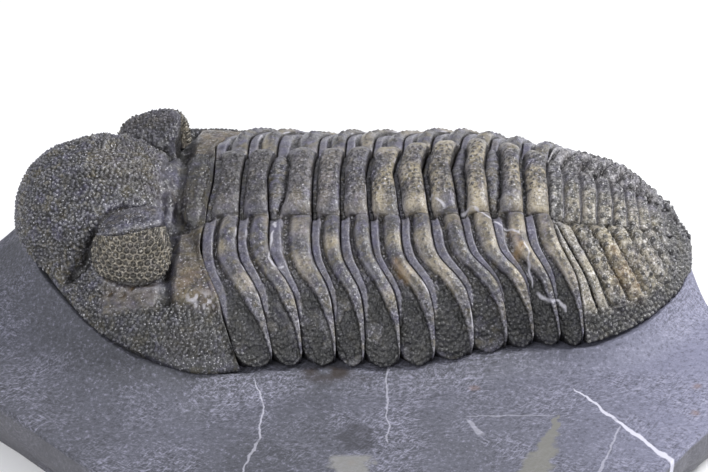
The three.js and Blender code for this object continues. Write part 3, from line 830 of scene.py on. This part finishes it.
# %% [markdown]
# The eyes of this animal are its finest part: each has a curved window of lenses, in rows that are
# staggered like the cells of a honeycomb. The lenses are dark and round, and the shell between them is tan.
# Each window is a strip of its own that wraps round the outer side of the turret, its rim sunk into the
# head.

# %% Build the two windows of lenses
EYE_ROWS = 110
EYE_COLUMNS = 170
LENS_SPACING = 1.3
LENS_RADIUS = 0.46
EYE_CORE_Z = 16
ROW_SHARE = 0.86


def lengths_along(places, axis):
    """How far along the surface each place of a grid is from the grid's first line"""
    steps = np.linalg.norm(np.diff(places, axis=axis), axis=-1)
    return np.cumsum(np.insert(steps, 0, 0, axis=axis), axis=axis)


def eye_window(name, sign):
    level, turn = np.meshgrid(np.linspace(0, 1, EYE_ROWS), np.linspace(*EYE_TURN, EYE_COLUMNS), indexing="ij")
    around, rise = np.radians(turn), np.radians(mix(eye_bottom(turn), eye_top(turn), level))
    flat = np.cos(rise)
    direction = np.stack([np.sin(around) * flat, sign * np.cos(around) * flat, np.sin(rise)], -1)
    hub = EYE_HUB * (1, sign, 1)
    turret = lambda spots: body_distance(both_sides(spots), HEAD_BODIES["far_eye"])
    reach = drawn_in(hub, direction, 14, 60, turret)
    places = hub + direction * reach[..., None]
    across, up = lengths_along(places, 1), lengths_along(places, 0)
    files = (across - across[:, EYE_COLUMNS // 2][:, None]) / LENS_SPACING
    pairs = up / (2 * ROW_SHARE * LENS_SPACING)
    gaps = []
    for stagger in (0, 0.5):
        aside, above = (count - stagger - np.round(count - stagger) for count in (files, pairs))
        gaps.append(np.hypot(aside, above * 2 * ROW_SHARE) * LENS_SPACING)
    from_lens = np.min(gaps, axis=0) + 0.08 * noise(places, 1.2, 77)
    lens = np.clip(1 - (from_lens / LENS_RADIUS) ** 2, 0, 1)
    to_ends = np.minimum(EYE_TURN[1] - turn, turn - EYE_TURN[0])
    inside = ease(0, 1, np.minimum(9 * np.minimum(level, 1 - level), to_ends / 8))
    relief = -1.1 + 1.45 * inside + inside * (0.24 * lens - 0.34 * bell(from_lens, LENS_RADIUS, 0.13))
    relief = relief + 0.1 * layered_noise(places, 0.9, 78, 2)
    marks = shell_marks(places, relief, 5, lump=ease(0.05, 0.4, lens) * inside, tan=inside * 0.3)
    core = Vector((hub[0], hub[1], EYE_CORE_Z))
    foot = lambda place: place.lerp(core, 0.2)
    piece = closed_piece(name, places + relief[..., None] * direction, foot, marks)
    return piece


eyes = [eye_window("left_eye_lenses", -1), eye_window("right_eye_lenses", 1)]

# %% [markdown]
# The slab is what is left of the rock: limestone sawn flat below, broken at the sides and worked smooth on
# top. Beside the head the rock still climbs to the shell in a hollow ramp, and below the tail it stands as
# a low wall. The mesh is a fan of spokes from the fossil's midline to the slab's outline. Its vertices
# crowd together near the fossil and the edge, where the shape changes most.

# %% The slab's rim and outline
SLAB_THICKNESS = 12
ROCK_GAP = 0.35
PEDESTAL = (
    (-59.9, 0), (-58.9, 6.5), (-57, 12.5), (-54, 18), (-50, 23.5), (-46, 28), (-41.5, 32.2), (-36, 35.9),
    (-30.5, 38.1), (-25, 38.9), (-19, 37.6), (-13, 35.6), (-6, 34.6), (1, 34.5), (8, 34.2), (14, 33.4),
    (20, 31.5), (27, 29), (34, 27), (40, 26.6), (45, 26), (50, 23.4), (54, 19.8), (57.5, 15.4),
    (60.3, 10.6), (62, 6), (62.9, 0),
)
NEAR_OUTLINE = (
    (-72, 1), (-76.5, -5), (-76, -18), (-73.5, -33), (-68, -41), (-61.8, -46.2), (-52, -55.5), (-42.6, -63.7),
    (-37.5, -73), (-26, -77.5), (-8, -78.4), (12, -77.2), (30, -77.8), (45, -75.6), (51, -68), (56, -60.2),
    (64.4, -48.3), (73, -38), (77.5, -30), (76, -19), (67.6, -10.2), (63.6, -1),
)
FAR_OUTLINE = (
    (-72, 1), (-66.1, 9.8), (-60, 20), (-52, 29.5), (-41, 36.5), (-26, 40.4), (-8, 39.6), (10, 39.2),
    (30, 34.8), (45, 28.4), (55, 19), (61.5, 8.4), (63.6, -1),
)


def along(chain, share):
    """Places on a chain of points, by their share of its length"""
    chain = np.array(chain, float)
    lengths = np.concatenate([[0], np.cumsum(np.linalg.norm(np.diff(chain, axis=0), axis=1))])
    return np.stack([np.interp(share * lengths[-1], lengths, chain[:, k]) for k in range(2)], -1)


# %% Marks on the slab
# Veins of calcite: where they start and end, how wide they are and how clearly they show
SLAB_VEINS = (
    ((41, -36.4), (48.4, -46.3), (0.3, 0.8), 0.8),
    ((47.9, -45.7), (58.6, -59.2), (0.8, 1.1), 0.85),
    ((-16.7, -38.8), (-14.5, -44), (0.2, 0.35), 0.5),
    ((-14.6, -43.4), (-15, -54.5), (0.4, 0.5), 0.5),
    ((-15, -54), (-17.5, -66), (0.5, 0.3), 0.4),
    ((7.2, -34), (7.9, -55), (0.4, 0.3), 0.35),
    ((38, -44.9), (21.4, -46.4), (0.3, 0.4), 0.22),
    ((21.6, -46.6), (24.4, -52), (0.6, 1.8), 0.3),
    ((48.9, -47.5), (44.4, -62), (0.4, 0.5), 0.3),
)
CHIP = ((38.3, -44.6), (32.4, -66), (0.3, 7))
TAN_CHIP = ((1.6, -57.6), (1.6, -70), (6.5, 8))
DARK_PATCH = ((2, -48.5), (2, -57), (4.5, 5.5))
# Where shade is painted on the rock just under the segments' tips
SHADE_UNDER_TIPS_SPOT = (-3, -36.6)
BROWN_SPOTS = ((62.4, -43.5), (63.4, -35.4), (1.8, -60.2), (23.1, -37.7))

# %% Build the slab
SLAB_SPOKES = 190
SLAB_CENTRE = (0, -18)
WELD_DISTANCE = 0.002
INNER_RINGS = np.linspace(0, 1, 6)[:-1]
OUTER_RINGS = np.concatenate([
    np.linspace(0, 0.2, 44)[:-1],
    np.linspace(0.2, 0.9, 74)[:-1],
    np.linspace(0.9, 0.985, 14),
])
SIDE_LEVELS = np.concatenate([[-0.15, -0.5], np.linspace(-1, -SLAB_THICKNESS, 24)])
side_share = curve((-SLAB_THICKNESS, 0.86), (-5.2, 0.99), (-2.4, 1), (-0.5, 0.995), (0, 0.988))
ramp_width = curve((-62, 17), (-30, 15), (-16, 8), (0, 6), (36, 6), (50, 7), (64, 8))
collar_reach = curve((-62, 2.4), (-40, 2.6), (-24, 1.2), (-12, 1.8), (20, 1.8), (45, 2), (64, 2))


def slab_top(x, distance):
    """Height of the worked rock at a distance from the rim below the fossil"""
    reach = collar_reach(x)
    lip = edge_height(x) - mix(0.35, 0.9, ease(-24, -14, x))
    inside = mix(floor_height(x) - ROCK_GAP, lip, ease(0, reach, distance))
    share = np.clip((distance - reach) / ramp_width(x), 0, 1)
    ramp = 0.3 + (lip - 0.3) * (1 - share) ** 2.4
    return np.where(distance < reach, inside, ramp)


def slab_places():
    """Two fans of rings and spokes, for the near side and the far side"""
    stations = np.linspace(0, 1, SLAB_SPOKES)
    index = np.linspace(0, len(PEDESTAL) - 1, SLAB_SPOKES)
    half = np.stack([hermite(index, range(len(PEDESTAL)), values) for values in zip(*PEDESTAL)], -1)
    fans = []
    for sign, chain in ((-1, NEAR_OUTLINE), (1, FAR_OUTLINE)):
        rim = half * (1, sign)
        outline = along(chain, stations)
        length = np.linalg.norm(outline - rim, axis=-1)
        rings = []
        for share in INNER_RINGS:
            flat = rim * (1, share)
            rings.append(np.column_stack([flat, floor_height(flat[:, 0]) - ROCK_GAP]))
        for share in OUTER_RINGS:
            flat = mix(rim, outline, share)
            rings.append(np.column_stack([flat, slab_top(flat[:, 0], share * length)]))
        top = rings[-1][:, 2]
        for level in SIDE_LEVELS:
            flat = mix(rim, outline, side_share(level))
            rise = mix(top, 0, ease(0, 2.5, -level)) if level > -2.5 else 0
            rings.append(np.column_stack([flat, np.full(len(flat), level) + rise]))
        fans.append(np.array(rings))
    return fans


def slab_relief(places):
    """Worked top: soft waves and tool marks. Broken sides: rough facets"""
    x, y, z = np.moveaxis(places, -1, 0)
    side = ease(-0.2, -1.2, z)
    waves = 0.35 * layered_noise(places, 17, 51) + 0.1 * layered_noise(places, 3.4, 55)
    marks = 0.05 * noise(places @ np.array([[0.25, 0.9, 0], [1.6, 0.5, 0], [0, 0, 1]]), 0.9, 57)
    above_base = ease(0.1, 1.5, z + SLAB_THICKNESS)
    up = (waves + marks) * (1 - side) * above_base
    out = side * (0.9 * layered_noise(places, 7, 61, 4) - 0.35) * above_base
    return up, out, side


def build_slab():
    near, far = slab_places()
    fans = np.concatenate([near, far[:, ::-1]], axis=1)
    flat = fans[..., :2] - SLAB_CENTRE
    outward = np.concatenate([flat / np.linalg.norm(flat, axis=-1, keepdims=True), 0 * flat[..., :1]], -1)
    up, out, side = slab_relief(fans)
    covered = np.zeros(fans.shape[:2])
    covered[: len(INNER_RINGS)] = 1
    places = fans + out[..., None] * outward
    places[..., 2] += up * (1 - covered)
    marks = {
        "side": side,
        "stain": near_spots(fans, BROWN_SPOTS, 0.9, 0.9),
        # Painted shade on the rock just under the segments' tips
        "painted_shade_under_tips": near_spots(fans, [SHADE_UNDER_TIPS_SPOT], 8, 1.8) * ease(-0.4, 0.4, noise(fans, 2.5, 58)),
        # Painted shade on the raised rock round the shell, weaker towards the tail
        "ramp": ease(0.6, 4.5, fans[..., 2]) * (1 - 0.8 * ease(30, 50, fans[..., 0])),
        # Painted light: the worked top is made lighter towards the tail, where the lamp stands
        "painted_light_towards_tail": 0.85 * ease(20, 75, fans[..., 0]) * (1 - side),
    }
    form, _ = grid_form(places)
    bmesh.ops.remove_doubles(form, verts=form.verts, dist=WELD_DISTANCE)
    lowest = [edge for edge in form.edges if edge.is_boundary and edge.verts[0].co.z < 1 - SLAB_THICKNESS]
    piece = finished_piece("limestone_slab", form, lowest, marks)
    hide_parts("matrix")
    return piece


slab = build_slab()

# %% [markdown]
# Materials come next. hue() turns the hex value that a colour picker shows into the linear numbers that a
# shader works with. A Recipe is a material in the making: lay() puts a colour over what is there already,
# by a share that noise or a mark on the mesh gives, so each material reads as a list of what lies over
# what.

# %% Recipes for materials
def hue(code):
    channels = [int(code[k:k + 2], 16) / 255 for k in (1, 3, 5)]
    return [c / 12.92 if c <= 0.04045 else ((c + 0.055) / 1.055) ** 2.4 for c in channels] + [1]


class Recipe:
    def __init__(self, name, ground):
        self.material = bpy.data.materials.new(name)
        self.material.use_nodes = True
        self.tree = self.material.node_tree
        self.shader = self.tree.nodes["Principled BSDF"]
        self.where = self.add("ShaderNodeTexCoord").outputs["Object"]
        self.colour = ground

    def plug(self, node, name, value):
        """Gives an input of a node a number, a colour or another node's socket"""
        if isinstance(value, bpy.types.NodeSocket):
            self.tree.links.new(value, node.inputs[name])
        else:
            node.inputs[name].default_value = hue(value) if isinstance(value, str) else value

    def add(self, kind, inputs=(), **settings):
        node = self.tree.nodes.new(kind)
        for name, value in settings.items():
            setattr(node, name, value)
        for name, value in dict(inputs).items():
            self.plug(node, name, value)
        return node

    def mark(self, name):
        return self.add("ShaderNodeAttribute", attribute_name=name).outputs["Fac"]

    def math(self, kind, a, b=0.0):
        return self.add("ShaderNodeMath", {0: a, 1: b}, operation=kind).outputs[0]

    def times(self, a, b):
        return self.math("MULTIPLY", a, b)

    def mapped(self, **inputs):
        """Coordinates moved, turned and scaled as a texture would be"""
        inputs = {"Vector": self.where} | inputs
        return self.add("ShaderNodeMapping", inputs, vector_type="TEXTURE").outputs[0]

    def noise(self, size, detail, roughness=0.5, distortion=0.0, where=None):
        """Soft noise with lumps about size millimetres across"""
        inputs = {"Vector": self.where if where is None else where, "Scale": 1 / (size * MM),
                  "Detail": detail, "Roughness": roughness, "Distortion": distortion}
        return self.add("ShaderNodeTexNoise", inputs).outputs[0]

    def spread(self, value, low, high, to_low=0.0, to_high=1.0):
        """Maps low to to_low and high to to_high, and stays at those beyond them"""
        inputs = {"Value": value, "From Min": low, "From Max": high, "To Min": to_low, "To Max": to_high}
        return self.add("ShaderNodeMapRange", inputs).outputs[0]

    def lay(self, over, share):
        node = self.add("ShaderNodeMix", {0: share, 6: self.colour, 7: over}, data_type="RGBA")
        self.colour = node.outputs[2]

    def finish(self, roughness, ior, height, strength, depth):
        """Joins the layers to the shader, with fine bumps depth millimetres deep"""
        bump = self.add("ShaderNodeBump", {"Strength": strength, "Distance": depth * MM, "Height": height})
        inputs = {"Base Color": self.colour, "Roughness": roughness, "IOR": ior, "Normal": bump.outputs[0]}
        for name, value in inputs.items():
            self.plug(self.shader, name, value)
        return self.material


# %% [markdown]
# The shell is calcite, stained almost black, with a dull waxy shine left by the preparator's tools. Its
# colour is never even: it is charcoal in hollows, partly dirt and partly painted shade, greyish lavender on
# smooth parts, tan on worn rings and ribs, and pale on the tops of bumps and along edges, partly rubbed wear
# and partly a painted highlight. Glints and the shade under the plates' edges are painted too. One recipe
# makes four finishes that differ in how dark and how warm they are.

# %% Dark calcite of the shell
SPECKLE_SIZE = 0.45
MOTTLE_SIZE = 3.5
PATCH_SIZE = 2.4
GLINT_SIZE = 0.6
CALCITE_IOR = 1.55
VIOLET_PATCH, OLIVE_PATCH, LAVENDER = "#625d80", "#82764f", "#5f5d70"
# Dirt and painted shade in hollows, dark grain, dark specks, and painted shade at the foot of the walls
HOLLOW_DIRT_AND_SHADE, DEEP_HOLLOW_DIRT_AND_SHADE, GRAINY, SPECK, PAINTED_SHADE_UNDER_EDGE = "#211c19", "#0b0a0a", "#111210", "#0c0b0b", "#1d1917"
# A painted glint colour, ochre stain and white calcite
PAINTED_GLINT, OCHRE, WHITE_CALCITE = "#dedce2", "#9a7a4e", "#c9c7cf"


def calcite(name, dark, middle, light, tan, knob, shine, tinted, glints):
    """Five colours, then how rough the shell is and how strong its tinted patches and its painted glints are
    """
    skin = Recipe(name, dark)
    spread, times = skin.spread, skin.times
    mottle = skin.noise(MOTTLE_SIZE, 5, 0.65)
    speckle = skin.noise(SPECKLE_SIZE, 2, 0.75)
    patches = skin.noise(PATCH_SIZE, 3, 0.6, 0.6)
    cells = skin.add("ShaderNodeTexVoronoi", {"Vector": skin.where, "Scale": 1 / (GLINT_SIZE * MM)}).outputs
    wear_and_painted_light, grain, smooth = skin.mark("wear_and_painted_light"), skin.mark("grain"), skin.mark("smooth")
    bumpy = spread(smooth, 0, 1, 1, 0.55)
    skin.lay(middle, spread(mottle, 0.38, 0.6))
    skin.lay(VIOLET_PATCH, spread(patches, 0.52, 0.66, 0, tinted))
    skin.lay(OLIVE_PATCH, spread(patches, 0.48, 0.34, 0, tinted))
    skin.lay(tan, times(skin.mark("tan"), spread(mottle, 0.34, 0.58, 0.2, 0.9)))
    skin.lay(LAVENDER, times(skin.mark("violet"), 0.8))
    # Pale tops and edges, dark hollows: partly wear and dirt, partly painted highlight and painted shade
    skin.lay(light, spread(wear_and_painted_light, 0, 0.34, 0, 0.42))
    skin.lay(HOLLOW_DIRT_AND_SHADE, spread(wear_and_painted_light, 0.02, -0.2, 0, 0.85))
    skin.lay(DEEP_HOLLOW_DIRT_AND_SHADE, spread(wear_and_painted_light, -0.16, -0.5, 0, 0.9))
    skin.lay(GRAINY, times(grain, spread(mottle, 0.3, 0.6, 1, 0.8)))
    skin.lay(knob, times(spread(skin.mark("lump"), 0.05, 0.5), 0.8))
    skin.lay(SPECK, times(bumpy, spread(speckle, 0.5, 0.34, 0, 0.8)))
    # Pale specks, partly pale grains and partly painted highlight, then painted glints
    lit = times(bumpy, spread(grain, 0, 1, 0.75, 0.15))
    skin.lay(light, times(lit, spread(speckle, 0.56, 0.7)))
    glint = times(spread(cells["Distance"], 0.3, 0.12), spread(cells["Color"], 0.4, 0.75))
    glint = times(times(glint, glints), spread(grain, 0, 1, 1, 0.5))
    skin.lay(PAINTED_GLINT, times(glint, bumpy))
    skin.lay(OCHRE, times(skin.mark("ochre"), spread(mottle, 0.4, 0.6, 0.05, 0.45)))
    skin.lay(WHITE_CALCITE, spread(skin.mark("pale"), 0.15, 0.8, 0, 0.75))
    # Painted shade at the foot of every wall: under the plates' edges and in the gaps between them
    skin.lay(PAINTED_SHADE_UNDER_EDGE, spread(skin.mark("foot"), 0.15, 0.9, 0, 0.95))
    roughness = times(spread(speckle, 0.35, 0.65, shine + 0.16, shine - 0.12), spread(smooth, 0, 1, 1, 0.8))
    return skin.finish(roughness, CALCITE_IOR, height=speckle, strength=0.8, depth=0.2)


FINISHES = (
    # Forehead and cheeks: charcoal with strong painted glints, for the light that the hundreds of bumps catch
    ([head], ("dark_calcite_head", "#262627", "#434347", "#a9a8ad", "#6f6450", "#272525", 0.36, 0.4, 0.8)),
    # Rings and ribs: the same shell, a little lighter and warmer where the rings are worn
    (segments,
     ("dark_calcite_thorax", "#373638", "#5e5c61", "#b9b7be", "#aa9e83", "#282526", 0.34, 0.4, 0.3)),
    # Tail: the most worn, khaki between dark bumps
    ([tail], ("dark_calcite_tail", "#4b4b4a", "#868483", "#d4d2d1", "#ada287", "#181617", 0.38, 0.4, 0.6)),
    # Eye windows: greyish tan shell between dark round lenses
    (eyes, ("lens_calcite", "#5a564f", "#8a8378", "#cbc5b8", "#8f8369", "#1d1b19", 0.34, 0.25, 0.3)),
)
for pieces, finish in FINISHES:
    material = calcite(*finish)
    for piece in pieces:
        piece.data.materials.append(material)

# %% [markdown]
# The rock is fine-grained limestone, worked with an air scribe: a matt lavender grey with faint brushed
# scratches. White calcite fills its cracks, broken places are browner, and the sides are rough and greyer.
# Painted light makes its top lighter towards the tail, and painted shade darkens the raised rock round the
# shell and the rock under the segments' tips.

# %% Worked limestone
LIMESTONE_IOR = 1.5
# Brushed scratches: which way they run, in radians, and how much longer than wide they are
SCRATCHES = ((0.25, 5), (-0.5, 3.5), (1, 4))


def streak(rock, start, end, widths, waviness=0.4):
    """A band on the slab between two places: how wide it is at each end, in millimetres, with soft ends"""
    first, last = to_part((*start, 0)), to_part((*end, 0))
    span = last - first
    length = float(np.hypot(span[0], span[1]))
    turn = float(np.arctan2(span[1], span[0]))
    local = rock.mapped(Location=tuple((first + last) / 2), Rotation=(0, 0, turn))
    parts = rock.add("ShaderNodeSeparateXYZ", {"Vector": local}).outputs
    half = rock.spread(parts[0], -length / 2, length / 2, widths[0] * MM / 2, widths[1] * MM / 2)
    wave = rock.spread(rock.noise(3, 4), 0.3, 0.7, -waviness * MM, waviness * MM)
    across = rock.math("DIVIDE", rock.math("ABSOLUTE", rock.math("ADD", parts[1], wave)), half)
    reach = rock.spread(rock.math("ABSOLUTE", parts[0]), length / 2, length / 2 - MM)
    return rock.times(rock.spread(across, 1.15, 0.7), reach)


def limestone():
    rock = Recipe("worked_limestone", "#4a4b52")
    spread, times = rock.spread, rock.times
    cloud, grain = rock.noise(22, 4, 0.6), rock.noise(0.7, 3, 0.7)
    rock.lay("#5c5d68", spread(cloud, 0.35, 0.65))
    # Painted light: lighter towards the tail, where the lamp stands
    rock.lay("#7f8097", rock.mark("painted_light_towards_tail"))
    # Painted shade on the raised rock round the shell, widest beside the head
    rock.lay("#444549", spread(rock.mark("ramp"), 0.05, 1, 0, 0.6))
    for turn, length in SCRATCHES:
        lines = rock.noise(0.36, 3, 0.65, 0.4, rock.mapped(Rotation=(0, 0, turn), Scale=(length, 1, 1)))
        region = spread(rock.noise(9 + length, 2), 0.45, 0.6, 0.15, 1)
        rock.lay("#a3a2b5", times(region, spread(lines, 0.53, 0.68, 0, 0.55)))
        rock.lay("#2e2f34", times(region, spread(lines, 0.47, 0.33, 0, 0.55)))
    rock.lay("#2f2e36", spread(grain, 0.46, 0.3, 0, 0.6))
    rock.lay("#9a98ad", spread(grain, 0.56, 0.7, 0, 0.5))
    rock.lay("#5f5e62", spread(rock.mark("side"), 0.1, 0.9, 0, 0.6))
    rock.lay("#7a6157", spread(rock.mark("stain"), 0.2, 0.9, 0, 0.6))
    # Painted shade under the segments' tips
    rock.lay("#2c2119", spread(rock.mark("painted_shade_under_tips"), 0.15, 0.9, 0, 0.85))
    rock.lay("#3a3a40", times(streak(rock, *DARK_PATCH, waviness=1.5), 0.7))
    rock.lay("#858481", times(streak(rock, *TAN_CHIP, waviness=1.6), 0.8))
    rock.lay("#74736d", times(streak(rock, *CHIP, waviness=0.9), 0.85))
    for *vein, strength in SLAB_VEINS:
        rock.lay("#cfcedb", times(streak(rock, *vein), strength))
    roughness = spread(grain, 0.3, 0.7, 0.75, 0.6)
    return rock.finish(roughness, LIMESTONE_IOR, height=grain, strength=0.45, depth=0.15)


slab.data.materials.append(limestone())

# %% [markdown]
# The studio is a pale floor and soft light. A small lamp stands past the tail and rakes along the animal,
# so each ring and each bump gets a lit and a shaded side. A broad lamp in front and a pale sky fill the
# shadows. The floor is bright enough to read as white.

# %% Floor, lamps and surroundings
SKY_STRENGTH = 0.62
FLOOR_HALF_SIZE = 3

form = bmesh.new()
bmesh.ops.create_grid(form, x_segments=8, y_segments=8, size=FLOOR_HALF_SIZE)
floor_mesh = bpy.data.meshes.new("studio_floor")
form.to_mesh(floor_mesh)
form.free()
studio_floor = new_object("studio_floor", floor_mesh)
paper = Recipe("white_paper", "#f4f4f4")
paper.lay("#fafafa", paper.add("ShaderNodeTexNoise", {"Scale": 3}).outputs[0])
paper.plug(paper.shader, "Base Color", paper.colour)
paper.plug(paper.shader, "Roughness", 0.9)
floor_mesh.materials.append(paper.material)


def lamp(name, place, size, watts):
    light = bpy.data.lights.new(name, "AREA")
    light.shape = "DISK"
    light.size = size
    light.energy = watts
    holder = new_object(name, light)
    holder.location = place
    holder.rotation_euler = Vector(place).to_track_quat("Z", "Y").to_euler()


lamp("key_lamp", (0.35, 0.08, 0.37), size=0.16, watts=2.3)
lamp("front_lamp", (-0.3, -0.7, 0.7), size=0.7, watts=4.6)

world = bpy.data.worlds.new("studio")
bpy.context.scene.world = world
world.use_nodes = True
sky = world.node_tree.nodes["Background"].inputs
sky["Color"].default_value = hue("#f6f8ff")
sky["Strength"].default_value = SKY_STRENGTH
bpy.context.scene.view_settings.view_transform = "Standard"
